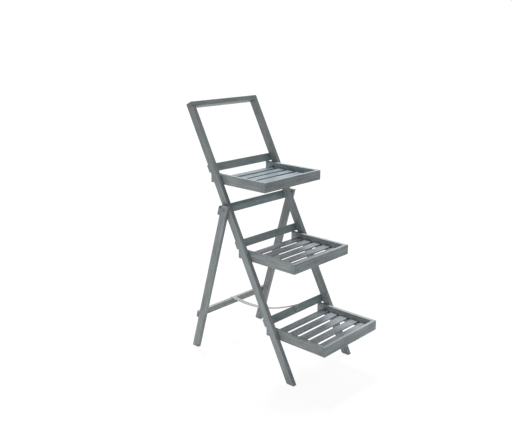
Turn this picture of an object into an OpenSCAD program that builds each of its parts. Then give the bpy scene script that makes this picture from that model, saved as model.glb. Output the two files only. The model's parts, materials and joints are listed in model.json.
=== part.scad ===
// Plant ladder stand: a leaning ladder frame, three trays that fold up into it, and a hinged
// rear frame that props it. A slack strap runs from the rear frame to the lowest batten.
// X runs across the stand, the front faces -Y, Z points up and the floor is z = 0.

/* [Ladder frame] */
// Lean of the stiles from upright, in degrees
lean_angle = 28; // [26:0.5:30]
// Length of the ladder along its slope, from the floor to the top of the top rail
ladder_length = 1235; // [1200:5:1320]
// Width over the two stiles
ladder_width = 400; // [340:5:480]
// Depth of a stile from its front face to its rear face
stile_depth = 32; // [30:1:34]
// Thickness of a stile across the stand
stile_thickness = 20; // [18:1:26]
// Height of the top rail along the slope
top_rail_height = 20; // [18:1:30]

/* [Battens of the ladder] */
// Height of a batten along the slope
batten_height = 33; // [30:1:38]
// Thickness of a batten behind the stiles
batten_thickness = 13; // [11:1:15]
// Distance of a batten's ends from the stiles' outer faces
batten_inset = 6; // [3:1:8]

/* [Trays] */
// Distance of the bottom tray's pivot from the floor, along the slope
first_pivot = 225.5; // [210:0.5:250]
// Distance from one tray's pivot to the next, along the slope
tray_pitch = 338; // [325:1:345]
// Distance from a tray's pivot to the front of its front board
tray_reach = 252.5; // [230:0.5:260]
// Height of the side boards and of the front board
side_height = 41.5; // [39:0.5:46]
// Thickness of a side board
side_thickness = 15; // [13:0.5:18]
// Thickness of the front board
front_thickness = 14; // [12:0.5:18]
// Reach of the side boards behind the batten that stops them
tail_overlap = 6; // [4:0.1:10]
// Number of slats in a tray
slat_count = 5; // [4:1:6]
// Gap between two slats
slat_gap = 15; // [10:0.5:17]
// Gap between the first slat and the front board
front_gap = 12.5; // [8:0.5:15]
// Thickness of a slat
slat_thickness = 5.5; // [5:0.5:8]
// Depth of the slats' tops below the tray's pivot
slat_drop = 6.5; // [6.4:0.1:8]
// Distance of the last slat's rear edge behind the pivot
slats_behind = 19; // [14:0.5:24]
// Width of the cleats under the slats
cleat_width = 12; // [10:0.5:16]

/* [Rear frame] */
// Slope of the rear legs from upright, in degrees
leg_angle = 15.5; // [14:0.5:17]
// Distance of the legs' pivots from the floor, along the ladder
leg_pivot = 765; // [750:1:780]
// Depth of a leg from its front face to its rear face
leg_depth = 35; // [33:1:38]
// Thickness of a leg across the stand
leg_thickness = 16; // [14:1:20]
// Length of a leg above its pivot
leg_head = 20; // [16:1:24]
// Height of the stop batten above the legs' pivots
stop_rise = 4.7; // [3:0.1:6]
// Height of the stop batten
stop_height = 38; // [34:1:44]
// Distance from the legs' pivots down to the top of the rear rail
rail_drop = 516.5; // [505:0.5:520]
// Height of the rear rail
rail_height = 31.5; // [28:0.5:36]
// Thickness of the stop batten and of the rear rail
cross_thickness = 13; // [11:0.5:15]

/* [Strap] */
// Width of the strap
strap_width = 25; // [20:1:32]
// Thickness of the strap
strap_thickness = 1.8; // [1.4:0.1:2.4]
// Distance of the strap's middle from the middle of the stand
strap_offset = 6; // [-60:1:60]
// Sag of the strap below a straight line
strap_sag = 28; // [12:1:34]
// Length of the strap's front end down the front of the batten
front_tab = 28; // [24:1:30]
// Length of the strap's rear end down the back of the rear rail
rear_tab = 26; // [22:1:28]

/* [Hardware] */
// Diameter of the pivot bolts' shoulders
shoulder_d = 8; // [7:0.5:9]
// Diameter of the pivot bolts' threads
thread_d = 6; // [5:0.5:6]
// Diameter of the leg bolts' heads
leg_head_d = 16; // [14:0.5:18]
// Diameter of the tray bolts' heads
tray_head_d = 12; // [11:0.5:12.5]
// Thickness of the pivot bolts' heads
bolt_head_thickness = 3; // [2.5:0.1:4]
// Diameter of the threaded inserts
insert_d = 10; // [9:0.5:11]
// Length of the threaded inserts
insert_length = 13; // [11:0.5:14]
// Diameter of the pivot washers
washer_d = 20; // [18:0.5:24]
// Thickness of the pivot washers
washer_thickness = 1.2; // [1:0.1:2]
// Diameter of the wood screws
screw_d = 3.5; // [3:0.1:4]
// Diameter of the wood screws' heads
screw_head_d = 7; // [6:0.1:7.5]
// Length of the screws through the battens and the cross rails
frame_screw_length = 30; // [24:1:32]
// Length of the screws from the cleats up into the slats
slat_screw_length = 17.5; // [16:0.5:18]
// Length of the screws from the cleats into the side boards
cleat_screw_length = 20; // [16:0.5:22]
// Distance between the two screws in one end of a batten
screw_pitch = 14; // [10:0.5:16]
// Diameter of the dowels in the top rail
rail_dowel_d = 8; // [6:0.5:8]
// Length of the dowels in the top rail
rail_dowel_length = 36; // [30:1:40]
// Diameter of the dowels in the trays' front corners
tray_dowel_d = 6; // [5:0.5:7]
// Length of the dowels in the trays' front corners
tray_dowel_length = 30; // [24:1:36]
// Diameter of the washers under the strap's screws
strap_washer_d = 14; // [12:0.5:16]
// Thickness of the washers under the strap's screws
strap_washer_thickness = 1; // [0.8:0.1:1.5]

/* [Clearances] */
// Radial clearance of a shoulder in its bore
running_clearance = 0.05; // [0.03:0.01:0.08]
// Free space beside each board that turns
side_clearance = 0.3; // [0.2:0.05:0.6]
// Free space between a turning board and its stop
stop_clearance = 0.3; // [0.2:0.05:0.5]
// Distance of a folded tray's edges inside the stiles' rear faces
fold_clearance = 0.5; // [0.3:0.1:1]
// Free space at each end of a slat
slat_clearance = 0.5; // [0.3:0.1:1]
// Free space between the strap and what it lies on
strap_clearance = 0.3; // [0.2:0.05:0.5]

/* [Hidden] */
$fn = 48;
WASH = [0.43, 0.47, 0.49];
STEEL = [0.68, 0.69, 0.70];
WEBBING = [0.72, 0.73, 0.73];
DOWEL = [0.75, 0.66, 0.50];
LEFT = -1;
RIGHT = 1;

// Across the stand, as distances from its middle
half_width = ladder_width / 2;
stile_inner = half_width - stile_thickness;
side_gap = washer_thickness + side_clearance;
tray_half_width = stile_inner - side_gap;
side_inner = tray_half_width - side_thickness;
leg_inner = half_width + side_gap;
leg_outer = leg_inner + leg_thickness;

// A point of the ladder as [y, z], from its depth behind the front face and its distance up the slope
function ladder_point(depth, up) =
    [up * sin(lean_angle) + depth * cos(lean_angle), up * cos(lean_angle) - depth * sin(lean_angle)];

// Where the ladder meets the floor at a given depth, as a distance up the slope
function floor_cut(depth) = depth * tan(lean_angle);

pivot_depth = stile_depth / 2;
leg_pivot_point = ladder_point(pivot_depth, leg_pivot);

// A point of the rear frame as [y, z], from its depth behind the legs' middle line and its
// distance down from the pivots
function leg_point(depth, down) =
    leg_pivot_point + [down * sin(leg_angle) + depth * cos(leg_angle),
                       depth * sin(leg_angle) - down * cos(leg_angle)];

// Where a leg meets a given height at a given depth, as a distance down from the pivot
function level_cut(depth, height) = (leg_pivot_point.y + depth * sin(leg_angle) - height) / cos(leg_angle);

half_leg = leg_depth / 2;
cross_rear = half_leg + cross_thickness;
leg_top_height = leg_pivot_point.y + leg_head * cos(leg_angle);

// The rear frame opens until the bevel of the stop batten meets the stiles' rear faces
open_angle = lean_angle + leg_angle;
stop_distance = pivot_depth + stop_clearance;
bevel_down = (stop_distance - half_leg * cos(open_angle)) / sin(open_angle);
bevel_depth = (stop_distance + stop_rise * sin(open_angle)) / cos(open_angle);

// Trays, as heights and distances from their pivots
top_rise = pivot_depth - fold_clearance;
side_bottom = top_rise - side_height;
slat_top = -slat_drop;
slat_bottom = slat_top - slat_thickness;
front_inner = tray_reach - front_thickness;
slat_span = front_inner + slats_behind - front_gap;
slat_width = (slat_span - (slat_count - 1) * slat_gap) / slat_count;
slat_step = slat_width + slat_gap;

// The front edge of a slat behind the pivot, counted from the front board
function slat_front(count) = front_gap - front_inner + (count - 1) * slat_step;

// Each batten stands just over the rear ends of a tray's side boards, which come up against it
batten_rear = stile_depth + batten_thickness;
batten_reach = batten_rear - pivot_depth;
batten_up = (batten_reach * sin(lean_angle) + top_rise + stop_clearance) / cos(lean_angle);
tray_tail = batten_up * sin(lean_angle) + batten_reach * cos(lean_angle) + tail_overlap;

stile_length = ladder_length - top_rail_height;
first_batten_top = first_pivot + batten_up + batten_height;

// Middle of the whole stand, front to back
tray_front = ladder_point(pivot_depth, first_pivot).x - tray_reach;
top_rear = ladder_point(stile_depth, ladder_length).x;
foot_rear = leg_point(half_leg, level_cut(half_leg, 0)).x;
middle = (min(0, tray_front) + max(top_rear, foot_rear)) / 2;

// Hardware
washer_clearance = 0.1;
insert_recess = 1;
bore_d = shoulder_d + 2 * running_clearance;
washer_bore_d = shoulder_d + 2 * washer_clearance;
insert_hole_depth = insert_length + insert_recess;
thread_length = insert_length - insert_recess;
leg_shoulder = side_gap + leg_thickness + side_clearance;
tray_shoulder = side_gap + side_thickness + side_clearance;
socket_width = 5;
socket_depth = 1.8;
screw_point = 3;
screw_inset = 8;
pan_head_d = 8;
pan_head_thickness = 2.4;
pan_screw_length = 14;
strap_hole_clearance = 0.5;
dowel_in_rail = 14;
dowel_in_front = 9;
cut = 1;

TRAYS = ["bottom", "middle", "top"];
SIDES = [["left", LEFT], ["right", RIGHT]];
LADDER_NODES = [
    "left_stile", "right_stile", "top_rail", "top_rail_dowels",
    "bottom_batten", "middle_batten", "top_batten", "batten_screws",
    "stile_inserts", "leg_pivot_bolts", "leg_pivot_washers",
    "tray_pivot_bolts", "tray_pivot_washers",
    "strap", "strap_front_screw", "strap_front_washer"
];
REAR_NODES = [
    "left_leg", "right_leg", "stop_batten", "rear_rail", "rear_frame_screws",
    "strap_rear_screw", "strap_rear_washer"
];
TRAY_PIECES = concat(
    ["left_side", "right_side", "front_board", "left_cleat", "right_cleat", "screws", "dowels"],
    [for (k = [1 : slat_count]) str("slat_", k)]
);

// ---- Places ----

// Mirrors a right-hand piece to the left side
module on_side(side) {
    mirror([side == LEFT ? 1 : 0, 0, 0])
        children();
}

// A board with a side profile of [y, z] points, between two places across the stand
module board(profile, x0, x1) {
    translate([x0, -middle, 0])
        rotate([90, 0, 90])
            linear_extrude(x1 - x0)
                polygon(profile);
}

// Puts something at a [y, z] point, x across the stand, its Z axis along +X or -X
module along_x(point, x, direction = 1) {
    translate([x, point.x - middle, point.y])
        rotate([0, direction * 90, 0])
            children();
}

// The ladder's own axes: Y points out of the back of the stiles and Z up the slope
module at_ladder(x, depth, up) {
    point = ladder_point(depth, up);
    translate([x, point.x - middle, point.y])
        rotate([-lean_angle, 0, 0])
            children();
}

// The rear frame's own axes: Y points out of the back of the legs and Z up them
module at_leg(x, depth, down) {
    point = leg_point(depth, down);
    translate([x, point.x - middle, point.y])
        rotate([leg_angle, 0, 0])
            children();
}

function tray_up(tray) = first_pivot + tray * tray_pitch;
function tray_pivot(tray) = ladder_point(pivot_depth, tray_up(tray));
function batten_bottom(tray) = tray_up(tray) + batten_up;

// A rectangle of a tray as a side profile, from distances behind and above the pivot
function tray_profile(tray, y0, y1, z0, z1) =
    [for (corner = [[y0, z0], [y1, z0], [y1, z1], [y0, z1]]) tray_pivot(tray) + corner];

// Places things in a tray, from its pivot
module at_tray(tray, x, y, z) {
    pivot = tray_pivot(tray);
    translate([x, pivot.x + y - middle, pivot.y + z])
        children();
}

// ---- Hardware shapes, along +Z ----

// The side of a countersunk wood screw, from the rim of its head to its point
function screw_profile(length) = [
    [screw_head_d / 2, 0],
    [screw_d / 2, (screw_head_d - screw_d) / 2],
    [screw_d / 2, length - screw_point],
    [0, length]
];

// A countersunk wood screw, its head flush with z = 0 and its point up
module wood_screw(length) {
    rotate_extrude()
        polygon(concat([[0, 0]], screw_profile(length)));
}

// The hole for a wood screw, open below z = 0
module screw_hole(length) {
    rotate_extrude()
        polygon(concat([[0, -cut], [screw_head_d / 2, -cut]], screw_profile(length)));
}

// A pan-head screw, its head below z = 0 and its shank above
module pan_screw(length) {
    rotate_extrude()
        polygon([
            [0, -pan_head_thickness],
            [pan_head_d / 4, -pan_head_thickness],
            [pan_head_d / 2, -pan_head_thickness / 2],
            [pan_head_d / 2, 0],
            [screw_d / 2, 0],
            [screw_d / 2, length - screw_point],
            [0, length]
        ]);
}

// A shoulder bolt: its thread below z = 0, then its shoulder and a domed head with a hex socket
module pivot_bolt(shoulder_length, head_d) {
    head_top = shoulder_length + bolt_head_thickness;
    difference() {
        rotate_extrude()
            polygon([
                [0, -thread_length],
                [thread_d / 2, -thread_length],
                [thread_d / 2, 0],
                [shoulder_d / 2, 0],
                [shoulder_d / 2, shoulder_length],
                [head_d / 2, shoulder_length],
                [head_d / 2, head_top - bolt_head_thickness / 2],
                [head_d / 2 - bolt_head_thickness / 2, head_top],
                [0, head_top]
            ]);
        translate([0, 0, head_top - socket_depth])
            cylinder(d = socket_width, h = socket_depth + cut, $fn = 6);
    }
}

// A flat ring
module ring(outer_d, inner_d, height) {
    difference() {
        cylinder(d = outer_d, h = height);
        translate([0, 0, -cut])
            cylinder(d = inner_d, h = height + 2 * cut);
    }
}

// ---- Ladder ----

module stile(side) {
    profile = [
        ladder_point(0, 0),
        ladder_point(stile_depth, floor_cut(stile_depth)),
        ladder_point(stile_depth, stile_length),
        ladder_point(0, stile_length)
    ];
    color(WASH)
        difference() {
            on_side(side)
                difference() {
                    board(profile, stile_inner, half_width);
                    along_x(leg_pivot_point, half_width + cut, -1)
                        cylinder(d = insert_d, h = insert_hole_depth + cut);
                    for (tray = [0 : len(TRAYS) - 1])
                        along_x(tray_pivot(tray), stile_inner - cut)
                            cylinder(d = insert_d, h = insert_hole_depth + cut);
                }
            at_rail_dowels()
                rail_dowel();
            at_batten_screws()
                screw_hole(frame_screw_length);
        }
}

module top_rail() {
    profile = [
        ladder_point(0, stile_length),
        ladder_point(stile_depth, stile_length),
        ladder_point(stile_depth, ladder_length),
        ladder_point(0, ladder_length)
    ];
    color(WASH)
        difference() {
            board(profile, -half_width, half_width);
            at_rail_dowels()
                rail_dowel();
        }
}

// The places of the two dowels between each stile and the top rail
module at_rail_dowels() {
    x = half_width - stile_thickness / 2;
    for (side = SIDES, depth = [stile_depth / 4, stile_depth * 3 / 4])
        on_side(side[1])
            at_ladder(x, depth, stile_length + dowel_in_rail - rail_dowel_length)
                children();
}

module rail_dowel() {
    cylinder(d = rail_dowel_d, h = rail_dowel_length);
}

module top_rail_dowels() {
    color(DOWEL)
        at_rail_dowels()
            rail_dowel();
}

module batten(tray) {
    bottom = batten_bottom(tray);
    profile = [
        ladder_point(stile_depth, bottom),
        ladder_point(batten_rear, bottom),
        ladder_point(batten_rear, bottom + batten_height),
        ladder_point(stile_depth, bottom + batten_height)
    ];
    end = half_width - batten_inset;
    color(WASH)
        difference() {
            board(profile, -end, end);
            at_batten_screws()
                screw_hole(frame_screw_length);
            if (tray == 0)
                front_strap_screw();
        }
}

// The places of the screws through the ends of the battens into the stiles
module at_batten_screws() {
    x = half_width - stile_thickness / 2;
    for (side = SIDES, tray = [0 : len(TRAYS) - 1], shift = [-screw_pitch / 2, screw_pitch / 2])
        on_side(side[1])
            at_ladder(x, batten_rear, batten_bottom(tray) + batten_height / 2 + shift)
                rotate([90, 0, 0])
                    children();
}

module batten_screws() {
    color(STEEL)
        at_batten_screws()
            wood_screw(frame_screw_length);
}

module stile_inserts() {
    color(STEEL)
        for (side = SIDES)
            on_side(side[1]) {
                along_x(leg_pivot_point, half_width, -1)
                    ring(insert_d, thread_d, insert_length);
                for (tray = [0 : len(TRAYS) - 1])
                    along_x(tray_pivot(tray), stile_inner)
                        ring(insert_d, thread_d, insert_length);
            }
}

module leg_pivot_bolts() {
    color(STEEL)
        for (side = SIDES)
            on_side(side[1])
                along_x(leg_pivot_point, half_width)
                    pivot_bolt(leg_shoulder, leg_head_d);
}

module leg_pivot_washers() {
    color(STEEL)
        for (side = SIDES)
            on_side(side[1])
                along_x(leg_pivot_point, half_width)
                    ring(washer_d, washer_bore_d, washer_thickness);
}

module tray_pivot_bolts() {
    color(STEEL)
        for (side = SIDES, tray = [0 : len(TRAYS) - 1])
            on_side(side[1])
                along_x(tray_pivot(tray), stile_inner, -1)
                    pivot_bolt(tray_shoulder, tray_head_d);
}

module tray_pivot_washers() {
    color(STEEL)
        for (side = SIDES, tray = [0 : len(TRAYS) - 1])
            on_side(side[1])
                along_x(tray_pivot(tray), stile_inner, -1)
                    ring(washer_d, washer_bore_d, washer_thickness);
}

// ---- Rear frame ----

module leg(side) {
    profile = [
        leg_point(-half_leg, level_cut(-half_leg, 0)),
        leg_point(half_leg, level_cut(half_leg, 0)),
        leg_point(half_leg, level_cut(half_leg, leg_top_height)),
        leg_point(-half_leg, level_cut(-half_leg, leg_top_height))
    ];
    color(WASH)
        difference() {
            on_side(side)
                difference() {
                    board(profile, leg_inner, leg_outer);
                    along_x(leg_pivot_point, leg_inner - cut)
                        cylinder(d = bore_d, h = leg_thickness + 2 * cut);
                }
            at_rear_frame_screws()
                screw_hole(frame_screw_length);
        }
}

// The stop batten, its upper front edge bevelled to lie against the stiles' rear faces
module stop_batten() {
    bottom = stop_height - stop_rise;
    profile = [
        leg_point(half_leg, bottom),
        leg_point(cross_rear, bottom),
        leg_point(cross_rear, -stop_rise),
        leg_point(bevel_depth, -stop_rise),
        leg_point(half_leg, bevel_down)
    ];
    color(WASH)
        difference() {
            board(profile, -leg_outer, leg_outer);
            at_rear_frame_screws()
                screw_hole(frame_screw_length);
        }
}

module rear_rail() {
    profile = [
        leg_point(half_leg, rail_drop + rail_height),
        leg_point(cross_rear, rail_drop + rail_height),
        leg_point(cross_rear, rail_drop),
        leg_point(half_leg, rail_drop)
    ];
    color(WASH)
        difference() {
            board(profile, -leg_outer, leg_outer);
            at_rear_frame_screws()
                screw_hole(frame_screw_length);
            rear_strap_screw();
        }
}

// The places of the screws through the stop batten and the rear rail into the legs
module at_rear_frame_screws() {
    x = leg_inner + leg_thickness / 2;
    lowest = [stop_height - stop_rise - screw_inset, rail_drop + (rail_height + screw_pitch) / 2];
    for (side = SIDES, down = lowest, shift = [0, screw_pitch])
        on_side(side[1])
            at_leg(x, cross_rear, down - shift)
                rotate([90, 0, 0])
                    children();
}

module rear_frame_screws() {
    color(STEEL)
        at_rear_frame_screws()
            wood_screw(frame_screw_length);
}

// ---- Strap ----

strap_lift = strap_clearance + strap_thickness / 2;
strap_front = stile_depth - strap_clearance - strap_thickness;
strap_rear = cross_rear + strap_clearance + strap_thickness;
strap_start = ladder_point(batten_rear, first_batten_top + strap_lift);
strap_end = leg_point(half_leg, rail_drop - strap_lift);
sag_steps = 24;
bend_angles = [0 : 22.5 : 90];

// The hanging stretch, a parabola below the straight line between its ends
function sag_point(t) =
    strap_start + t * (strap_end - strap_start) - [0, 4 * strap_sag * t * (1 - t)];

strap_path = concat(
    [ladder_point(stile_depth - strap_lift, first_batten_top - front_tab)],
    [for (a = bend_angles)
        ladder_point(stile_depth - strap_lift * cos(a), first_batten_top + strap_lift * sin(a))],
    [for (k = [0 : sag_steps]) sag_point(k / sag_steps)],
    [for (a = bend_angles)
        leg_point(cross_rear + strap_lift * sin(a), rail_drop - strap_lift * cos(a))],
    [leg_point(cross_rear + strap_lift, rail_drop + rear_tab)]
);

function unit(v) = v / norm(v);
function square_to(v) = [-v.y, v.x];

// The direction across the strap's thickness at point k, mitred where the path bends
function strap_normal(k) =
    let (last = len(strap_path) - 1)
    let (before = square_to(unit(strap_path[max(k, 1)] - strap_path[max(k, 1) - 1])))
    let (after = square_to(unit(strap_path[min(k, last - 1) + 1] - strap_path[min(k, last - 1)])))
    let (along = unit(before + after))
    along / (along * before);

// Four corners of the strap at point k
function strap_ring(k) =
    let (offset = strap_normal(k) * strap_thickness / 2)
    let (upper = strap_path[k] + offset)
    let (lower = strap_path[k] - offset)
    let (x0 = strap_offset - strap_width / 2)
    let (x1 = strap_offset + strap_width / 2)
    [for (corner = [[x0, upper], [x1, upper], [x1, lower], [x0, lower]])
        [corner[0], corner[1].x - middle, corner[1].y]];

module strap_sweep() {
    corners = len(strap_ring(0));
    last = len(strap_path) - 1;
    points = [for (k = [0 : last]) each strap_ring(k)];
    walls = [for (k = [0 : last - 1], c = [0 : corners - 1])
        let (next = (c + 1) % corners)
        [corners * k + c, corners * k + next, corners * (k + 1) + next, corners * (k + 1) + c]];
    first_end = [for (c = [0 : corners - 1]) corners - 1 - c];
    last_end = [for (c = [0 : corners - 1]) corners * last + c];
    polyhedron(points, concat(walls, [first_end, last_end]));
}

// Axes of the strap's front screw, at the front of the strap and pointing back
module at_front_screw() {
    at_ladder(strap_offset, strap_front, first_batten_top - front_tab / 2)
        rotate([-90, 0, 0])
            children();
}

// Axes of the strap's rear screw, behind the strap and pointing forward
module at_rear_screw() {
    at_leg(strap_offset, strap_rear + strap_clearance, rail_drop + rear_tab / 2)
        rotate([90, 0, 0])
            children();
}

module front_strap_screw() {
    at_front_screw()
        translate([0, 0, -strap_washer_thickness])
            pan_screw(pan_screw_length);
}

module rear_strap_screw() {
    at_rear_screw()
        translate([0, 0, -strap_washer_thickness])
            pan_screw(pan_screw_length);
}

// The hole for a screw, right through the strap
module strap_hole() {
    translate([0, 0, -cut])
        cylinder(d = screw_d + 2 * strap_hole_clearance, h = strap_thickness + strap_clearance + 2 * cut);
}

module strap() {
    color(WEBBING)
        difference() {
            strap_sweep();
            at_front_screw()
                strap_hole();
            at_rear_screw()
                strap_hole();
        }
}

module strap_front_screw() {
    color(STEEL)
        front_strap_screw();
}

module strap_rear_screw() {
    color(STEEL)
        rear_strap_screw();
}

module strap_washer() {
    translate([0, 0, -strap_washer_thickness])
        ring(strap_washer_d, screw_d, strap_washer_thickness);
}

module strap_front_washer() {
    color(STEEL)
        at_front_screw()
            strap_washer();
}

module strap_rear_washer() {
    color(STEEL)
        at_rear_screw()
            strap_washer();
}

// ---- Trays ----

module tray_side(tray, side) {
    profile = tray_profile(tray, -front_inner, tray_tail, side_bottom, top_rise);
    color(WASH)
        difference() {
            on_side(side)
                difference() {
                    board(profile, side_inner, tray_half_width);
                    along_x(tray_pivot(tray), side_inner - cut)
                        cylinder(d = bore_d, h = side_thickness + 2 * cut);
                }
            at_tray_dowels(tray)
                tray_dowel();
            at_cleat_screws(tray)
                screw_hole(cleat_screw_length);
        }
}

module tray_front(tray) {
    profile = tray_profile(tray, -tray_reach, -front_inner, side_bottom, top_rise);
    color(WASH)
        difference() {
            board(profile, -tray_half_width, tray_half_width);
            at_tray_dowels(tray)
                tray_dowel();
        }
}

module tray_slat(tray, count) {
    front = slat_front(count);
    profile = tray_profile(tray, front, front + slat_width, slat_bottom, slat_top);
    end = side_inner - slat_clearance;
    color(WASH)
        difference() {
            board(profile, -end, end);
            at_slat_screws(tray)
                screw_hole(slat_screw_length);
        }
}

module tray_cleat(tray, side) {
    profile = tray_profile(tray, -front_inner, slats_behind, side_bottom, slat_bottom);
    color(WASH)
        difference() {
            on_side(side)
                board(profile, side_inner - cleat_width, side_inner);
            at_slat_screws(tray)
                screw_hole(slat_screw_length);
            at_cleat_screws(tray)
                screw_hole(cleat_screw_length);
        }
}

// The places of the screws from below the cleats up into each slat
module at_slat_screws(tray) {
    x = side_inner - cleat_width / 2;
    for (side = SIDES, count = [1 : slat_count])
        on_side(side[1])
            at_tray(tray, x, slat_front(count) + slat_width / 2, side_bottom)
                children();
}

// The places of the screws from the cleats out into the side boards, under the first and last gaps
module at_cleat_screws(tray) {
    x = side_inner - cleat_width;
    z = (side_bottom + slat_bottom) / 2;
    for (side = SIDES, count = [2, slat_count])
        on_side(side[1])
            at_tray(tray, x, slat_front(count) - slat_gap / 2, z)
                rotate([0, 90, 0])
                    children();
}

module tray_screws(tray) {
    color(STEEL) {
        at_slat_screws(tray)
            wood_screw(slat_screw_length);
        at_cleat_screws(tray)
            wood_screw(cleat_screw_length);
    }
}

// The places of the two dowels from each side board into the front board
module at_tray_dowels(tray) {
    x = tray_half_width - side_thickness / 2;
    for (side = SIDES, share = [1 / 4, 3 / 4])
        on_side(side[1])
            at_tray(tray, x, -front_inner - dowel_in_front, side_bottom + side_height * share)
                rotate([-90, 0, 0])
                    children();
}

module tray_dowel() {
    cylinder(d = tray_dowel_d, h = tray_dowel_length);
}

module tray_dowels(tray) {
    color(DOWEL)
        at_tray_dowels(tray)
            tray_dowel();
}

// ---- The model ----

stile(LEFT);  // left_stile
stile(RIGHT);  // right_stile
top_rail();
top_rail_dowels();
for (tray = [0 : len(TRAYS) - 1])
    batten(tray);
batten_screws();
stile_inserts();
leg_pivot_bolts();
leg_pivot_washers();
tray_pivot_bolts();
tray_pivot_washers();
strap();
strap_front_screw();
strap_front_washer();

leg(LEFT);  // left_leg
leg(RIGHT);  // right_leg
stop_batten();
rear_rail();
rear_frame_screws();
strap_rear_screw();
strap_rear_washer();

for (tray = [0 : len(TRAYS) - 1]) {
    name = str(TRAYS[tray], "_tray_");
    for (side = SIDES) {
        tray_side(tray, side[1]);
        tray_cleat(tray, side[1]);
    }
    tray_front(tray);
    for (count = [1 : slat_count])
        tray_slat(tray, count);
    tray_screws(tray);
    tray_dowels(tray);
}
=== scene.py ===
"""Plant ladder stand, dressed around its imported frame.

Lengths are in metres, in the frame's axes: X across the stand, the front towards -Y, Z up.
Each board is rebuilt from its CAD node with eased and slightly worn edges, under a thin
grey-blue wash that lets the grain show. Screws, pivot bolts and the strap are modelled too.
"""

import json
import math
import random

import bmesh
import bpy
import numpy as np
from mathutils import Matrix, Vector, noise


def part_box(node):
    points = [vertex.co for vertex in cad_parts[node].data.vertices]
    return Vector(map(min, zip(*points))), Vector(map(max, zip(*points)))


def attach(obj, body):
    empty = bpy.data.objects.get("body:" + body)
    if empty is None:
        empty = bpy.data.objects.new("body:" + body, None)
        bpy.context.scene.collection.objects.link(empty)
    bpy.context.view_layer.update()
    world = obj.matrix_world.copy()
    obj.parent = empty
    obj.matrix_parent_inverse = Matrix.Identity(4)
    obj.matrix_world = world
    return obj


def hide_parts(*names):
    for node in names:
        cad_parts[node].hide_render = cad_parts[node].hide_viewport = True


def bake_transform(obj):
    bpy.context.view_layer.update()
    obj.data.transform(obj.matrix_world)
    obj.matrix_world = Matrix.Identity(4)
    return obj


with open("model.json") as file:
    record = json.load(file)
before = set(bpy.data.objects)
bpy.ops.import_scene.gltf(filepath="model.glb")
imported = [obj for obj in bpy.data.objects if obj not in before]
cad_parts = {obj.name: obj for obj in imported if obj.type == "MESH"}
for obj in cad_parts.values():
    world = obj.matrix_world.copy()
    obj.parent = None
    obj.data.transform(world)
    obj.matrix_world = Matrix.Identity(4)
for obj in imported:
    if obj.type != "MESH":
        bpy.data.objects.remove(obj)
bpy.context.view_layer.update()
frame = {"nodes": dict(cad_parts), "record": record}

MM = 0.001
NODES = frame["nodes"]
SLOT_OF = {part["node"]: part["material_slot"] for part in frame["record"]["subparts"]}
BODY_OF = {
    node: body
    for body, members in frame["record"]["behaviour"]["bodies"].items()
    for node in members
}
JOINTS = {joint["name"]: joint for joint in frame["record"]["behaviour"]["joints"]}
FOLD_AT = Vector(JOINTS["rear_frame_fold"]["pos_m"][1:])
draw = random.Random(28)

# Boards. A cast of 1 is a colder and paler wash, and one of -1 a warmer and darker one. The casts
# are painted light and shade with a shift in hue: each board's wash is made paler or darker to set
# how lit it looks.
WARM_SHADED_CAST = (0.9, 0.86, 0.84, 1.0)
NO_CAST = (1.0, 1.0, 1.0, 1.0)
COLD_LIT_CAST = (1.05, 1.18, 1.2, 1.0)
PAINTED_LIGHT_CASTS = {
    "top_batten": 0.7,
    "middle_batten": 0.9,
    "bottom_batten": 1.0,
    "stop_batten": 1.0,
    "top_tray_right_side": 1.0,
    "middle_tray_front_board": 0.5,
    "bottom_tray_front_board": 0.3,
    "middle_tray_left_side": -0.4,
    "bottom_tray_left_side": -0.4,
    "left_leg": -0.4,
    "right_leg": -0.8,
    "rear_rail": -1.0,
}
# Painted light and shade on the slats: darker washes for the lower trays' slats, shaded by the tray
# above, and a paler one for the lit top tray.
SLAT_PAINTED_LIGHT = {"bottom_tray": -0.6, "middle_tray": -0.6, "top_tray": 0.5}
EASED_EDGE = {"frame_timber": 1.1 * MM, "slat_timber": 0.9 * MM}
EDGE_STEPS = 3
STRAIGHT_WITHIN = 0.02 * MM
EDGE_BAND = 3.5 * MM
STATION = 16 * MM
FACE_RIPPLE = 0.1 * MM
EDGE_WEAR = 0.3 * MM
RIPPLE_LENGTH = 0.16
RIPPLE_WIDTH = 0.02
WEAR_LENGTH = 0.03
WEAR_BIAS = 0.35
BOARD_SHIFT = 1.9
PITH_NEAR = 0.03
PITH_FAR = 0.09

# Marks in the timber, as (length along the grain, width across it)
FIBRE = (0.06, 0.0011)
STREAK = (0.22, 0.006)
PATCH = (0.09, 0.03)
TINT = (0.17, 0.045)
WANDER = (0.35, 0.05)
FLECK = (0.002, 0.002)
RING_SPACING = 4.2 * MM

# Hardware. Heads, shanks and threads are given by their radius.
SIDES = 24
SCREW_HEAD = 3.5 * MM
SCREW_PROUD = 0.35 * MM
SCREW_POINT = 3 * MM
SCREW_TIP = 0.1 * MM
RECESS_ARM = 2.0 * MM
RECESS_HALF_WIDTH = 0.5 * MM
PAN_HEAD = 4 * MM
PAN_SHANK = 1.75 * MM
PAN_THICKNESS = 2.4 * MM
BOLT_HEAD_THICKNESS = 3 * MM
BOLT_SHOULDER = 4 * MM
BOLT_THREAD = 3 * MM
BOLT_THREAD_END = 2.4 * MM
BOLT_THREAD_LENGTH = 12 * MM
THREAD_CHAMFER = 0.6 * MM
SOCKET_HALF_WIDTH = 2.5 * MM
SOCKET_DEPTH = 1.8 * MM
SAME_POINT = 0.005 * MM
ROUNDING = 0.2 * MM
ROUNDED_ABOVE = math.radians(40)
CLOUD = (0.004, 0.004)
BRUSH_MARKS = (0.02, 0.0004)

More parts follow.
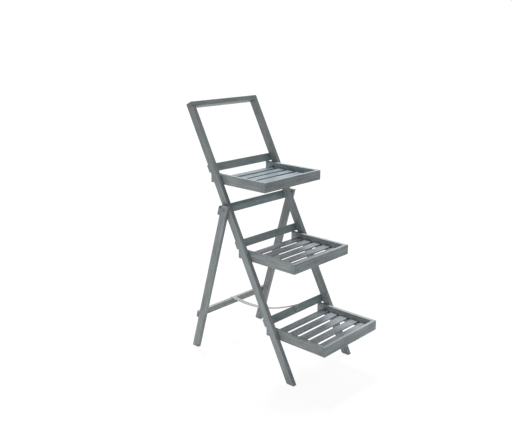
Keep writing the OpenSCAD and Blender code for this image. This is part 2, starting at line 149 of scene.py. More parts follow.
# Strap: its route repeats the CAD's, across the stand's middle plane
LEAN = math.radians(28)
LEG_SLOPE = math.radians(15.5)
STILE_DEPTH = 32 * MM
HALF_LEG = 17.5 * MM
CROSS_THICKNESS = 13 * MM
LEG_PIVOT = 765 * MM
BATTEN_TOP = 291.81 * MM
RAIL_DROP = 516.5 * MM
STRAP_LIFT = 1.2 * MM
STRAP_WIDTH = 25 * MM
STRAP_THICKNESS = 1.8 * MM
STRAP_OFFSET = 6 * MM
STRAP_SAG = 28 * MM
FRONT_TAB = 28 * MM
REAR_TAB = 26 * MM
STRAP_STATIONS = 110
BEND_STATIONS = 9
TAB_STATIONS = 12
STRAP_RIBS = 9
STEPS_PER_RIB = 4
RIB_HEIGHT = 0.13 * MM
STRAP_FLAT = 0.985
STRAP_EDGE = 0.35
SELVEDGE = 0.46
SEALED_END = 1.5 * MM
# Painted shade for the hanging stretch of the strap, which the key light reaches and the tabs
# don't.
STRAP_PAINTED_SHADE = (0.66, 0.66, 0.655, 1.0)
YARN = 1.5 * MM
FUZZ = (0.0008, 0.0008)
FADING = (0.05, 0.012)


# ---- Node materials ----


def linear(code):
    """A linear colour from six hex digits."""
    values = [int(code[k : k + 2], 16) / 255 for k in (0, 2, 4)]
    return (*[((v + 0.055) / 1.055) ** 2.4 if v > 0.04045 else v / 12.92 for v in values], 1.0)


def put(tree, kind, inputs=None, **settings):
    """A new node. inputs gives each named or numbered socket a value or another node's output."""
    node = tree.nodes.new("ShaderNode" + kind)
    for name, value in settings.items():
        setattr(node, name, value)
    for name, value in (inputs or {}).items():
        if isinstance(value, bpy.types.NodeSocket):
            tree.links.new(value, node.inputs[name])
        else:
            node.inputs[name].default_value = value
    return node


def new_material(name):
    material = bpy.data.materials.new(name)
    material.use_nodes = True
    return material, material.node_tree, material.node_tree.nodes["Principled BSDF"]


def attribute(tree, name, output):
    return put(tree, "Attribute", attribute_name=name).outputs[output]


def calculate(tree, operation, *values):
    return put(tree, "Math", dict(enumerate(values)), operation=operation).outputs[0]


def stretch(tree, value, low, high, to_low=0.0, to_high=1.0):
    """value from low to high, spread over to_low to to_high and held there."""
    inputs = {"Value": value, 1: low, 2: high, 3: to_low, 4: to_high}
    return put(tree, "MapRange", inputs).outputs[0]


def swing(tree, middle, *parts):
    """middle, plus how far each part lies from one half times its weight."""
    total = middle - sum(weight for _, weight in parts) / 2
    for part, weight in parts:
        total = calculate(tree, "MULTIPLY_ADD", part, weight, total)
    return total


def ramp(tree, factor, stops):
    node = put(tree, "ValToRGB", {"Fac": factor})
    elements = node.color_ramp.elements
    while len(elements) < len(stops):
        elements.new(0.5)
    for element, (position, colour) in zip(elements, stops):
        element.position = position
        element.color = colour
    return node.outputs["Color"]


def mix(tree, factor, below, above, blend_type="MIX"):
    inputs = {0: factor, 6: below, 7: above}
    return put(tree, "Mix", inputs, data_type="RGBA", blend_type=blend_type).outputs[2]


def bump(tree, height, distance, strength=1.0):
    inputs = {"Height": height, "Distance": distance, "Strength": strength}
    return put(tree, "Bump", inputs).outputs["Normal"]


def grain(tree, place, length, width, detail=2.0, roughness=0.5):
    """Noise from 0 to 1 in marks of about length along the grain and width across it."""
    scale = (1 / length, 1 / width, 1 / width)
    drawn = put(tree, "VectorMath", {0: place, 1: scale}, operation="MULTIPLY").outputs[0]
    inputs = {"Vector": drawn, "Scale": 1.0, "Detail": detail, "Roughness": roughness}
    return put(tree, "TexNoise", inputs).outputs["Fac"]


def growth_lines(tree, place, spacing):
    """Dark late-wood lines round the pith, which runs along the X axis of place."""
    across = put(tree, "VectorMath", {0: place, 1: (0, 1, 1)}, operation="MULTIPLY").outputs[0]
    radius = put(tree, "VectorMath", {0: across}, operation="LENGTH").outputs["Value"]
    wander = grain(tree, place, *WANDER, detail=1.0)
    bent = calculate(tree, "MULTIPLY_ADD", wander, 0.05, radius)
    turn = calculate(tree, "FRACT", calculate(tree, "DIVIDE", bent, spacing))
    rise = stretch(tree, turn, 0.35, 0.9)
    fall = stretch(tree, turn, 0.9, 1.0, 1.0, 0.0)
    return calculate(tree, "MULTIPLY", rise, fall)


def washed_timber(name, deep, middle, pale, worn, end_grain_and_shade_colour, sheen_width):
    """Timber under a thin wash: the colours run from deep in the grain to pale on the ridges."""
    material, tree, surface = new_material(name)
    place = attribute(tree, "timber", "Vector")
    edge = attribute(tree, "edge", "Fac")
    end_grain_and_shade = attribute(tree, "end_grain_and_shade", "Fac")
    painted_light_cast = attribute(tree, "painted_light_cast", "Fac")
    fibre = grain(tree, place, *FIBRE, detail=2.0, roughness=0.6)
    streak = grain(tree, place, *STREAK, detail=3.0)
    patch = grain(tree, place, *PATCH, detail=2.0)
    tint = grain(tree, place, *TINT, detail=1.0)
    lines = growth_lines(tree, place, RING_SPACING)

    tone = swing(tree, 0.5, (streak, 0.65), (fibre, 0.55), (patch, 0.65))
    tone = calculate(tree, "MULTIPLY_ADD", lines, -0.1, tone)
    colour = ramp(tree, tone, [(0.22, deep), (0.5, middle), (0.8, pale)])
    tint_stops = [(0.36, linear("f3faf7")), (0.5, linear("faf9f8")), (0.64, linear("f5f8fc"))]
    colour = mix(tree, 1.0, colour, ramp(tree, tint, tint_stops), "MULTIPLY")
    # Each board's cast: painted light and shade, its wash made paler or darker, and colder or
    # warmer, to set how lit it looks.
    painted_light_stops = [(0.0, WARM_SHADED_CAST), (0.5, NO_CAST), (1.0, COLD_LIT_CAST)]
    painted_light_colour = ramp(tree, stretch(tree, painted_light_cast, -1.0, 1.0), painted_light_stops)
    colour = mix(tree, 1.0, colour, painted_light_colour, "MULTIPLY")

    rubbed = swing(tree, 0.0, (fibre, 0.9), (patch, 1.3), (streak, 0.8))
    rubbed = calculate(tree, "MULTIPLY_ADD", edge, 0.2, rubbed)
    colour = mix(tree, stretch(tree, rubbed, 0.3, 0.62, 0.0, 0.55), colour, worn)

    # End grain takes the cut colour; on slats the long narrow sides take it too, as painted shade
    # for the gaps between slats.
    end_grain_and_shade_mix = mix(tree, lines, end_grain_and_shade_colour, deep)
    colour = mix(tree, stretch(tree, end_grain_and_shade, 0.55, 0.8, 0.0, 0.8), colour, end_grain_and_shade_mix)

    height = swing(tree, 0.5, (fibre, 0.8), (streak, 0.35))
    height = calculate(tree, "MULTIPLY_ADD", lines, -0.25, height)
    tree.links.new(colour, surface.inputs["Base Color"])
    tree.links.new(stretch(tree, tone, 0.2, 0.8, *sheen_width), surface.inputs["Roughness"])
    tree.links.new(bump(tree, height, 0.35 * MM, 0.7), surface.inputs["Normal"])
    return material


def zinc(name, colour, recess_shade):
    """Plated steel, with painted shade darkening the recess of each head."""
    material, tree, surface = new_material(name)
    place = put(tree, "TexCoord").outputs["Object"]
    cloud = grain(tree, place, *CLOUD, detail=3.0)
    brushed = grain(tree, place, *BRUSH_MARKS)
    recess = attribute(tree, "recess", "Fac")
    shade = ramp(tree, cloud, [(0.3, linear("5f6264")), (0.7, colour)])
    # Painted shade: the recess of each head is made near black.
    tree.links.new(mix(tree, recess, shade, recess_shade), surface.inputs["Base Color"])
    tree.links.new(stretch(tree, cloud, 0.3, 0.7, 0.34, 0.52), surface.inputs["Roughness"])
    tree.links.new(bump(tree, brushed, 0.03 * MM, 0.5), surface.inputs["Normal"])
    surface.inputs["Metallic"].default_value = 1.0
    return material


def webbing_material(name, warp, weft, seam):
    """Flat webbing in a fine herringbone, darkened where it hangs by painted shade.

    run holds metres along, metres across and an edge share.
    """
    material, tree, surface = new_material(name)
    place = attribute(tree, "run", "Vector")
    run = put(tree, "SeparateXYZ", {0: place}).outputs
    fold = calculate(tree, "PINGPONG", run["Y"], STRAP_WIDTH / STRAP_RIBS)
    slant = calculate(tree, "MULTIPLY_ADD", fold, 1.3, run["X"])
    turns = calculate(tree, "MULTIPLY", slant, 2 * math.pi / YARN)
    yarn = stretch(tree, calculate(tree, "SINE", turns), -1.0, 1.0)
    fuzz = grain(tree, place, *FUZZ, detail=2.0)
    faded = grain(tree, place, *FADING, detail=2.0)

    tone = swing(tree, 0.5, (yarn, 0.55), (fuzz, 0.5), (faded, 0.7))
    colour = ramp(tree, tone, [(0.15, weft), (0.75, warp)])
    # Painted shade: the hanging stretch is darkened, the tabs not.
    colour = mix(tree, attribute(tree, "hanging_shade", "Fac"), colour, STRAP_PAINTED_SHADE, "MULTIPLY")
    colour = mix(tree, calculate(tree, "MULTIPLY", run["Z"], 0.35), colour, seam)
    height = swing(tree, 0.5, (yarn, 0.8), (fuzz, 0.4))
    tree.links.new(colour, surface.inputs["Base Color"])
    tree.links.new(stretch(tree, tone, 0.2, 0.8, 0.75, 0.6), surface.inputs["Roughness"])
    tree.links.new(bump(tree, height, 0.25 * MM, 0.8), surface.inputs["Normal"])
    surface.inputs["Specular IOR Level"].default_value = 0.2
    return material


def bare_wood(name):
    """Turned beech, for the dowels inside the joints."""
    material, tree, surface = new_material(name)
    place = put(tree, "TexCoord").outputs["Object"]
    fleck = grain(tree, place, *FLECK, detail=3.0)
    colour = ramp(tree, fleck, [(0.3, linear("b08d62")), (0.7, linear("d2b48a"))])
    tree.links.new(colour, surface.inputs["Base Color"])
    tree.links.new(stretch(tree, fleck, 0.3, 0.7, 0.5, 0.7), surface.inputs["Roughness"])
    tree.links.new(bump(tree, fleck, 0.1 * MM, 0.4), surface.inputs["Normal"])
    return material


MATERIALS = {
    "frame_timber": washed_timber(
        "Frame wash",
        deep=linear("62686a"),
        middle=linear("7c8284"),
        pale=linear("92989a"),
        worn=linear("868988"),
        end_grain_and_shade_colour=linear("6b7071"),
        sheen_width=(0.5, 0.36),
    ),
    "slat_timber": washed_timber(
        "Slat wash",
        deep=linear("656d72"),
        middle=linear("7f888f"),
        pale=linear("949ea6"),
        worn=linear("8f969a"),
        # Dark: the slats' end grain, and the painted shade on their narrow sides.
        end_grain_and_shade_colour=linear("4b5155"),
        sheen_width=(0.35, 0.25),
    ),
    "dowel": bare_wood("Beech dowel"),
    # The second colour is the painted shade in the head recesses.
    "hardware": zinc("Dull zinc", linear("888b8c"), linear("232424")),
    "webbing": webbing_material(
        "Grey webbing",
        warp=linear("b6b7b8"),
        weft=linear("9b9c9c"),
        seam=linear("7f807f"),
    ),
}


# ---- Boards ----


def everything(bm):
    return bm.verts[:] + bm.edges[:] + bm.faces[:]


def half_hull(points):
    """One half of the convex outline of sorted (y, z) points."""
    kept = []
    for point in points:
        while len(kept) > 1 and (kept[-1] - kept[-2]).cross(point - kept[-1]) <= 0:
            kept.pop()
        kept.append(point)
    return kept[:-1]


def side_outline(node):
    """The corners of a board seen from its side, as vectors (y, z) in turn."""
    found = {(round(v.co.y, 6), round(v.co.z, 6)) for v in NODES[node].data.vertices}
    points = [Vector(p) for p in sorted(found)]
    hull = half_hull(points) + half_hull(points[::-1])
    corners = []
    for k, point in enumerate(hull):
        before = (corners or [hull[-1]])[-1]
        chord = hull[(k + 1) % len(hull)] - before
        if abs(chord.normalized().cross(point - before)) > STRAIGHT_WITHIN:
            corners.append(point)
    return corners


def plain_board(node):
    """A board without its holes: its side outline, drawn out across the stand."""
    low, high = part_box(node)
    corners = side_outline(node)
    bm = bmesh.new()
    ends = [[bm.verts.new((x, *corner)) for corner in corners] for x in (low.x, high.x)]
    for end in ends:
        bm.faces.new(end)
    for k in range(len(corners)):
        other = (k + 1) % len(corners)
        bm.faces.new((ends[0][k], ends[0][other], ends[1][other], ends[1][k]))
    bmesh.ops.recalc_face_normals(bm, faces=bm.faces[:])
    return bm


def board_axes(bm):
    """A board's own axes: X along the grain, Z out of its broadest face, from its middle."""
    longest = max(bm.edges, key=lambda e: e.calc_length())
    grain_way = (longest.verts[1].co - longest.verts[0].co).normalized()
    if sum(grain_way) < 0:
        grain_way.negate()
    out = max(bm.faces, key=lambda f: f.calc_area()).normal.copy()
    side = out.cross(grain_way).normalized()
    turned = Matrix((grain_way, side, out)).transposed()
    local = [turned.transposed() @ v.co for v in bm.verts]
    middle = Vector([(min(p[k] for p in local) + max(p[k] for p in local)) / 2 for k in range(3)])
    return Matrix.Translation(turned @ middle) @ turned.to_4x4()


def face_planes(bm):
    """The plane of each face, as (normal, distance)."""
    bm.normal_update()
    return [(f.normal.copy(), f.normal.dot(f.verts[0].co)) for f in bm.faces]


def slice_board(bm, planes):
    """Adds loops beside each edge and across the grain, so that wear can follow them."""
    for normal, distance in planes:
        bmesh.ops.bisect_plane(
            bm, geom=everything(bm), plane_co=normal * (distance - EDGE_BAND), plane_no=normal
        )
    low = min(v.co.x for v in bm.verts)
    high = max(v.co.x for v in bm.verts)
    count = max(2, round((high - low) / STATION))
    for k in range(1, count):
        place = Vector((low + (high - low) * k / count, 0, 0))
        bmesh.ops.bisect_plane(bm, geom=everything(bm), plane_co=place, plane_no=(1, 0, 0))


def wear_board(bm, planes, shift, painted_light_cast, slot):
    """Marks each point's place in the timber and how near it is to an edge, and wears it down."""
    timber = bm.verts.layers.float_vector.new("timber")
    edge = bm.verts.layers.float.new("edge")
    end_grain_and_shade = bm.verts.layers.float.new("end_grain_and_shade")
    painted_light_cast_layer = bm.verts.layers.float.new("painted_light_cast")
    bm.normal_update()
    moves = []
    for v in bm.verts:
        gaps = sorted(distance - normal.dot(v.co) for normal, distance in planes)
        near_edge = max(0.0, 1 - gaps[1] / EDGE_BAND)
        place = v.co + shift
        ripple_at = (place.x / RIPPLE_LENGTH, place.y / RIPPLE_WIDTH, place.z / RIPPLE_WIDTH)
        ripple = 0.5 + 0.5 * noise.noise(ripple_at)
        worn = max(0.0, WEAR_BIAS + noise.noise(place / WEAR_LENGTH)) * near_edge**2
        v[timber] = place
        v[edge] = near_edge
        v[end_grain_and_shade] = abs(v.normal.x)
        # On slats the long narrow sides get the dark cut colour too: painted shade, standing for
        # the shade in the gaps between slats.
        if slot == "slat_timber":
            v[end_grain_and_shade] = max(v[end_grain_and_shade], abs(v.normal.y))
        v[painted_light_cast_layer] = painted_light_cast
        moves.append(v.normal * -(FACE_RIPPLE * ripple + EDGE_WEAR * worn))
    for v, move in zip(bm.verts, moves):
        v.co += move


def as_object(bm, name, slot):
    for face in bm.faces:
        face.smooth = True
    mesh = bpy.data.meshes.new(name)
    bm.to_mesh(mesh)
    bm.free()
    mesh.materials.append(MATERIALS[slot])
    piece = bpy.data.objects.new(name, mesh)
    bpy.context.scene.collection.objects.link(piece)
    return piece


def settle(piece, node):
    """The piece takes its node's place and body: it joins the body and the node is hidden."""
    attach(piece, BODY_OF[node])
    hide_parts(node)


def flat_normals(piece):
    """Keeps broad faces flat beside their rounded edges."""
    weighted = piece.modifiers.new("Flat faces", "WEIGHTED_NORMAL")
    weighted.keep_sharp = True


def board(node):
    slot = SLOT_OF[node]
    bm = plain_board(node)
    axes = board_axes(bm)
    bm.transform(axes.inverted())
    planes = face_planes(bm)
    bmesh.ops.bevel(
        bm,
        geom=bm.edges[:],
        offset=EASED_EDGE[slot],
        segments=EDGE_STEPS,
        profile=0.5,
        affect="EDGES",
    )
    slice_board(bm, planes)
    pith = draw.uniform(PITH_NEAR, PITH_FAR)
    way = draw.uniform(0, 2 * math.pi)
    number = sorted(SLOT_OF).index(node)
    shift = Vector((BOARD_SHIFT * number, pith * math.cos(way), pith * math.sin(way)))
    # The board's cast of painted light and shade.
    painted_light_cast = SLAT_PAINTED_LIGHT[BODY_OF[node]] if slot == "slat_timber" else PAINTED_LIGHT_CASTS.get(node, 0.0)
    wear_board(bm, planes, shift, painted_light_cast, slot)
    bm.transform(axes)
    piece = as_object(bm, node + "_timber", slot)
    flat_normals(piece)
    settle(piece, node)


for name in sorted(SLOT_OF):
    if SLOT_OF[name] in EASED_EDGE:
        board(name)


# ---- Screws and bolts ----


def cross(arm, half_width):
    """The outline of a cross recess, as a radius at each angle."""

    def radius(angle):
        c = max(abs(math.cos(angle)), 1e-6)
        s = max(abs(math.sin(angle)), 1e-6)
        return max(min(arm / c, half_width / s), min(arm / s, half_width / c))

    return radius


def hexagon(half_width):
    """The outline of a hex socket, as a radius at each angle."""

    def radius(angle):
        turned = (angle + math.pi / 6) % (math.pi / 3) - math.pi / 6
        return half_width / math.cos(turned)

    return radius


def turned_part(bm, rings, matrix, recess_rings):
    """Skins rings of (radius or outline, height) from the first to the last, and closes both."""
    layer = bm.verts.layers.float.get("recess") or bm.verts.layers.float.new("recess")
    loops = []
    for k, (outline, height) in enumerate(rings):
        loop = []
        for step in range(SIDES):
            angle = 2 * math.pi * step / SIDES
            radius = outline(angle) if callable(outline) else outline
            local = Vector((radius * math.cos(angle), radius * math.sin(angle), height))
            v = bm.verts.new(matrix @ local)
            v[layer] = 1.0 if k < recess_rings else 0.0
            loop.append(v)
        loops.append(loop)
    for before, after in zip(loops, loops[1:]):
        for step in range(SIDES):
            other = (step + 1) % SIDES
            bm.faces.new((before[step], before[other], after[other], after[step]))
    bm.faces.new(loops[0][::-1])
    bm.faces.new(loops[-1])


def wood_screw_rings(length):
    """A countersunk screw, from the floor of its recess out over the head and down to its point."""
    shank = SCREW_HEAD / 2
    return [
        (cross(RECESS_ARM * 0.9, RECESS_HALF_WIDTH * 0.8), -0.05 * MM),
        (cross(RECESS_ARM, RECESS_HALF_WIDTH), -0.9 * SCREW_PROUD),
        (cross(RECESS_ARM * 1.06, RECESS_HALF_WIDTH * 1.2), -SCREW_PROUD),
        (SCREW_HEAD * 0.93, -0.85 * SCREW_PROUD),
        (SCREW_HEAD * 0.99, -0.5 * SCREW_PROUD),
        (SCREW_HEAD, 0.0),
        (shank, shank),
        (shank, length - SCREW_POINT),
        (SCREW_TIP, length),
    ]


def pan_screw_rings(length):
    """A pan-headed screw, in the same order."""
    top = -PAN_THICKNESS
    return [
        (cross(RECESS_ARM * 0.8, RECESS_HALF_WIDTH * 0.8), top + 1.3 * MM),
        (cross(RECESS_ARM, RECESS_HALF_WIDTH), top + 0.1 * MM),
        (cross(RECESS_ARM * 1.06, RECESS_HALF_WIDTH * 1.2), top),
        (PAN_HEAD * 0.66, top + 0.12 * MM),
        (PAN_HEAD * 0.86, top + 0.55 * MM),
        (PAN_HEAD * 0.97, top + 1.2 * MM),
        (PAN_HEAD, top + 1.9 * MM),
        (PAN_HEAD * 0.97, 0.0),
        (PAN_SHANK, 0.0),
        (PAN_SHANK, length - SCREW_POINT),
        (SCREW_TIP, length),
    ]


def bolt_rings(head_radius, length):
    """A shoulder bolt with a domed head, from the floor of its hex socket to its thread's end."""
    top = -BOLT_HEAD_THICKNESS
    shoulder = length - BOLT_THREAD_LENGTH
    return [
        (hexagon(SOCKET_HALF_WIDTH * 0.94), top + SOCKET_DEPTH),
        (hexagon(SOCKET_HALF_WIDTH), top + 0.2 * MM),
        (hexagon(SOCKET_HALF_WIDTH * 1.08), top),
        (head_radius * 0.6, top + 0.05 * MM),
        (head_radius * 0.8, top + 0.45 * MM),
        (head_radius * 0.93, top + 1.2 * MM),
        (head_radius * 0.99, top + 2.1 * MM),
        (head_radius, top + 2.6 * MM),
        (head_radius * 0.98, 0.0),
        (BOLT_SHOULDER, 0.0),
        (BOLT_SHOULDER, shoulder),
        (BOLT_THREAD, shoulder),
        (BOLT_THREAD, length - THREAD_CHAMFER),
        (BOLT_THREAD_END, length),
    ]


def loose_parts(node):
    """The points of each separate solid in a CAD node."""
    bm = bmesh.new()
    bm.from_mesh(NODES[node].data)
    bmesh.ops.remove_doubles(bm, verts=bm.verts[:], dist=SAME_POINT)
    waiting = set(bm.verts)
    parts = []
    for start in bm.verts[:]:
        if start not in waiting:
            continue
        waiting.remove(start)
        found = [start]
        for v in found:
            for e in v.link_edges:
                other = e.other_vert(v)
                if other in waiting:
                    waiting.remove(other)
                    found.append(other)
        parts.append(np.array([v.co for v in found]))
    bm.free()
    return parts


def fastener_axes(points, turn):
    """(axes, length, head radius) of one fastener: Z runs from under its head to its point."""
    middle = points.mean(0)
    way = np.linalg.svd(points - middle, full_matrices=False)[2][0]
    heights = (points - middle) @ way
    radii = np.linalg.norm(points - middle - np.outer(heights, way), axis=1)
    near = heights < np.percentile(heights, 50)
    if radii[near].max() < radii[~near].max():
        way = -way
        heights = -heights
    z = Vector(way)
    rotation = z.to_track_quat("Z", "Y").to_matrix() @ Matrix.Rotation(turn, 3, "Z")
    start = Vector(middle + way * heights.min())
    return Matrix.Translation(start) @ rotation.to_4x4(), heights.max() - heights.min(), radii.max()


def fasteners(node, rings_for, head_above, recess_rings=2):
    """Rebuilds every fastener of a CAD node in one piece. head_above is how thick its head is."""
    bm = bmesh.new()
    for points in loose_parts(node):
        axes, length, head_radius = fastener_axes(points, draw.uniform(0, math.pi))
        under_head = axes @ Matrix.Translation((0, 0, head_above))
        rings = rings_for(length - head_above, head_radius)
        turned_part(bm, rings, under_head, recess_rings)
    bmesh.ops.recalc_face_normals(bm, faces=bm.faces[:])
    piece = as_object(bm, node + "_set", "hardware")
    flat_normals(piece)
    settle(piece, node)


for name in ("batten_screws", "rear_frame_screws"):
    fasteners(name, lambda length, head: wood_screw_rings(length), 0.0)
for tray in ("bottom", "middle", "top"):
    fasteners(tray + "_tray_screws", lambda length, head: wood_screw_rings(length), 0.0)
for name in ("strap_front_screw", "strap_rear_screw"):
    fasteners(name, lambda length, head: pan_screw_rings(length), PAN_THICKNESS)
for name in ("leg_pivot_bolts", "tray_pivot_bolts"):
    fasteners(name, lambda length, head: bolt_rings(head, length), BOLT_HEAD_THICKNESS, 1)


# ---- CAD nodes that stay: washers, inserts and dowels ----


def dress(node):
    """Gives a CAD node its material and softens its edges."""
    shown = NODES[node]
    shown.material_slots[0].material = MATERIALS[SLOT_OF[node]]
    weld = shown.modifiers.new("Weld", "WELD")
    weld.merge_threshold = SAME_POINT
    rounding = shown.modifiers.new("Rounding", "BEVEL")
    rounding.width = ROUNDING
    rounding.segments = 2
    rounding.limit_method = "ANGLE"
    rounding.angle_limit = ROUNDED_ABOVE


STAYING = [
    "leg_pivot_washers",
    "tray_pivot_washers",
    "stile_inserts",
    "strap_front_washer",
    "strap_rear_washer",
    "top_rail_dowels",
    "bottom_tray_dowels",
    "middle_tray_dowels",
    "top_tray_dowels",
]
for name in STAYING:
    dress(name)


# ---- Strap ----


def ladder_point(depth, up):
    """A point in the ladder's side view as a vector (y, z)."""
    back = depth - STILE_DEPTH / 2
    above = up - LEG_PIVOT
    y = above * math.sin(LEAN) + back * math.cos(LEAN)
    return FOLD_AT + Vector((y, above * math.cos(LEAN) - back * math.sin(LEAN)))


def leg_point(depth, down):
    """A point in the rear frame's side view as a vector (y, z)."""
    y = down * math.sin(LEG_SLOPE) + depth * math.cos(LEG_SLOPE)
    return FOLD_AT + Vector((y, depth * math.sin(LEG_SLOPE) - down * math.cos(LEG_SLOPE)))


def strap_route():
    """Points along the middle of the strap: front tab, hanging stretch and rear tab."""
    batten_rear = STILE_DEPTH + CROSS_THICKNESS
    cross_rear = HALF_LEG + CROSS_THICKNESS
    front = STILE_DEPTH - STRAP_LIFT
    start = ladder_point(batten_rear, BATTEN_TOP + STRAP_LIFT)
    end = leg_point(HALF_LEG, RAIL_DROP - STRAP_LIFT)
    route = []
    for k in range(TAB_STATIONS):
        share = k / TAB_STATIONS
        route.append(ladder_point(front, BATTEN_TOP - FRONT_TAB * (1 - share)))
    for k in range(BEND_STATIONS):
        angle = math.pi / 2 * k / (BEND_STATIONS - 1)
        depth = STILE_DEPTH - STRAP_LIFT * math.cos(angle)
        route.append(ladder_point(depth, BATTEN_TOP + STRAP_LIFT * math.sin(angle)))
    for k in range(STRAP_STATIONS + 1):
        share = k / STRAP_STATIONS
        sag = 4 * STRAP_SAG * share * (1 - share)
        route.append(start + (end - start) * share - Vector((0, sag)))
    for k in range(BEND_STATIONS):
        angle = math.pi / 2 * k / (BEND_STATIONS - 1)
        depth = cross_rear + STRAP_LIFT * math.sin(angle)
        route.append(leg_point(depth, RAIL_DROP - STRAP_LIFT * math.cos(angle)))
    for k in range(1, TAB_STATIONS + 1):
        route.append(leg_point(cross_rear + STRAP_LIFT, RAIL_DROP + REAR_TAB * k / TAB_STATIONS))
    return route


def strap_section():
    """The strap's cross-section as (across, up) with ribs on both faces, round its edges."""
    half = STRAP_WIDTH / 2
    flat = half * STRAP_FLAT
    points = []
    steps = STRAP_RIBS * STEPS_PER_RIB
    for face in (1, -1):
        for k in range(steps + 1):
            across = face * (flat - 2 * flat * k / steps)
            rib = RIB_HEIGHT * (1 - math.cos(2 * math.pi * k / STEPS_PER_RIB)) / 2
            rounded = STRAP_EDGE if k in (0, steps) else 1.0
            points.append((across, face * (STRAP_THICKNESS / 2 - RIB_HEIGHT + rib) * rounded))
        points.append((-face * half, 0.0))
    return points


def strap():
    route = strap_route()
    section = strap_section()
    bm = bmesh.new()
    run = bm.verts.layers.float_vector.new("run")
    hanging_shade = bm.verts.layers.float.new("hanging_shade")
    first_hanging = TAB_STATIONS + BEND_STATIONS
    last_hanging = first_hanging + STRAP_STATIONS
    loops = []
    travelled = 0.0
    total = sum((b - a).length for a, b in zip(route, route[1:]))
    for k, point in enumerate(route):
        before = route[max(k - 1, 0)]
        after = route[min(k + 1, len(route) - 1)]
        travelled += (point - before).length
        way = (after - before).normalized()
        up = Vector((-way.y, way.x))
        sealed = 1.0 if min(travelled, total - travelled) < SEALED_END else 0.0
        loop = []
        for across, height in section:
            place = point + up * height
            v = bm.verts.new((STRAP_OFFSET + across, place.x, place.y))
            selvedge = 1.0 if abs(across) > STRAP_WIDTH * SELVEDGE else 0.0
            v[run] = (travelled, across, max(sealed, selvedge))
            # Marks the hanging stretch, which gets painted shade.
            v[hanging_shade] = 1.0 if first_hanging <= k <= last_hanging else 0.0
            loop.append(v)
        loops.append(loop)
    count = len(section)
    for first, second in zip(loops, loops[1:]):
        for k in range(count):
            other = (k + 1) % count
            bm.faces.new((first[k], first[other], second[other], second[k]))
    bm.faces.new(loops[0][::-1])
    bm.faces.new(loops[-1])
    bmesh.ops.recalc_face_normals(bm, faces=bm.faces[:])
    piece = as_object(bm, "strap_webbing", "webbing")
    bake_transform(piece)
    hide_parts("strap")


strap()


# ---- Floor, light and camera ----

BACKDROP = (1.0, 1.0, 1.0, 1.0)
FLOOR_SIZE = 60.0
FLOOR_DROP = 0.3 * MM
FLOOR_NEAR = 0.4
FLOOR_FAR = 1.6
BOUNCE_NEAR = 0.84
BOUNCE_FAR = 0.38
FLOOR_SHADE = 0.08
FLOOR_GLOW = 0.92
SKY_LIGHT = 0.45
KEY_LIGHT = 4.7
KEY_FROM = (0.4, 0.5, 1.0)
KEY_SPREAD = math.radians(18)
SIDE_LIGHT = 3.8
SIDE_AT = (-1.05, -0.1, 0.5)
SIDE_SIZE = 0.8

CAMERA_AT = (-2.1571, -1.8140, 1.4050)
CAMERA_HEADING = math.radians(47.618)
CAMERA_DIP = math.radians(15.93)
CAMERA_ROLL = math.radians(0.417)
FOCAL_PIXELS = 696.93
PHOTO_WIDTH = 512
SENSOR = 36.0


def seen_directly(tree):
    """1 for what the camera, a reflection or glass sees, and 0 for light on matt surfaces."""
    path = put(tree, "LightPath").outputs
    seen = calculate(tree, "MAXIMUM", path["Is Camera Ray"], path["Is Glossy Ray"])
    return calculate(tree, "MAXIMUM", seen, path["Is Transmission Ray"])


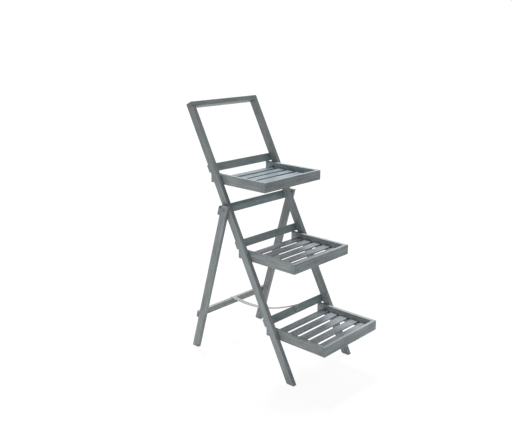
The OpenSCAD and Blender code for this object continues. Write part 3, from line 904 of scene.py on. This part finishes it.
def floor():
    bm = bmesh.new()
    bmesh.ops.create_grid(bm, x_segments=2, y_segments=2, size=FLOOR_SIZE / 2)
    mesh = bpy.data.meshes.new("floor")
    bm.to_mesh(mesh)
    bm.free()
    plane = bpy.data.objects.new("floor", mesh)
    plane.location.z = -FLOOR_DROP
    bpy.context.scene.collection.objects.link(plane)
    material, tree, surface = new_material("Pale floor")
    seen = seen_directly(tree)
    place = put(tree, "TexCoord").outputs["Object"]
    away = put(tree, "VectorMath", {0: place}, operation="LENGTH").outputs["Value"]
    bounce = stretch(tree, away, FLOOR_NEAR, FLOOR_FAR, BOUNCE_NEAR, BOUNCE_FAR)
    shade = stretch(tree, seen, 0.0, 1.0, bounce, FLOOR_SHADE)
    tree.links.new(shade, surface.inputs["Base Color"])
    surface.inputs["Roughness"].default_value = 1.0
    surface.inputs["Specular IOR Level"].default_value = 0.0
    surface.inputs["Emission Color"].default_value = BACKDROP
    glow = calculate(tree, "MULTIPLY", seen, FLOOR_GLOW)
    tree.links.new(glow, surface.inputs["Emission Strength"])
    mesh.materials.append(material)


def sky():
    world = bpy.data.worlds.new("studio")
    world.use_nodes = True
    bpy.context.scene.world = world
    tree = world.node_tree
    background = tree.nodes["Background"]
    background.inputs["Color"].default_value = BACKDROP
    strength = stretch(tree, seen_directly(tree), 0.0, 1.0, SKY_LIGHT, 1.0)
    tree.links.new(strength, background.inputs["Strength"])


def sun(name, strength, comes_from, spread):
    light = bpy.data.lights.new(name, "SUN")
    light.energy = strength
    light.angle = spread
    lamp = bpy.data.objects.new(name, light)
    lamp.rotation_mode = "QUATERNION"
    lamp.rotation_quaternion = Vector(comes_from).to_track_quat("Z", "Y")
    bpy.context.scene.collection.objects.link(lamp)


def side_panel():
    """A soft panel close to the left side, which the right side's boards see less of."""
    light = bpy.data.lights.new("side", "AREA")
    light.energy = SIDE_LIGHT
    light.size = SIDE_SIZE
    lamp = bpy.data.objects.new("side", light)
    lamp.location = SIDE_AT
    lamp.rotation_mode = "QUATERNION"
    lamp.rotation_quaternion = Vector((-1, 0, 0)).to_track_quat("Z", "Y")
    lamp.visible_camera = False
    bpy.context.scene.collection.objects.link(lamp)


def camera():
    data = bpy.data.cameras.new("camera")
    data.sensor_width = SENSOR
    data.lens = FOCAL_PIXELS / PHOTO_WIDTH * SENSOR
    eye = bpy.data.objects.new("camera", data)
    turn = (
        Matrix.Rotation(-CAMERA_HEADING, 4, "Z")
        @ Matrix.Rotation(math.pi / 2 - CAMERA_DIP, 4, "X")
        @ Matrix.Rotation(CAMERA_ROLL, 4, "Z")
    )
    eye.matrix_world = Matrix.Translation(CAMERA_AT) @ turn
    bpy.context.scene.collection.objects.link(eye)
    bpy.context.scene.camera = eye


floor()
sky()
sun("key", KEY_LIGHT, KEY_FROM, KEY_SPREAD)
side_panel()
camera()
bpy.context.scene.view_settings.view_transform = "Standard"
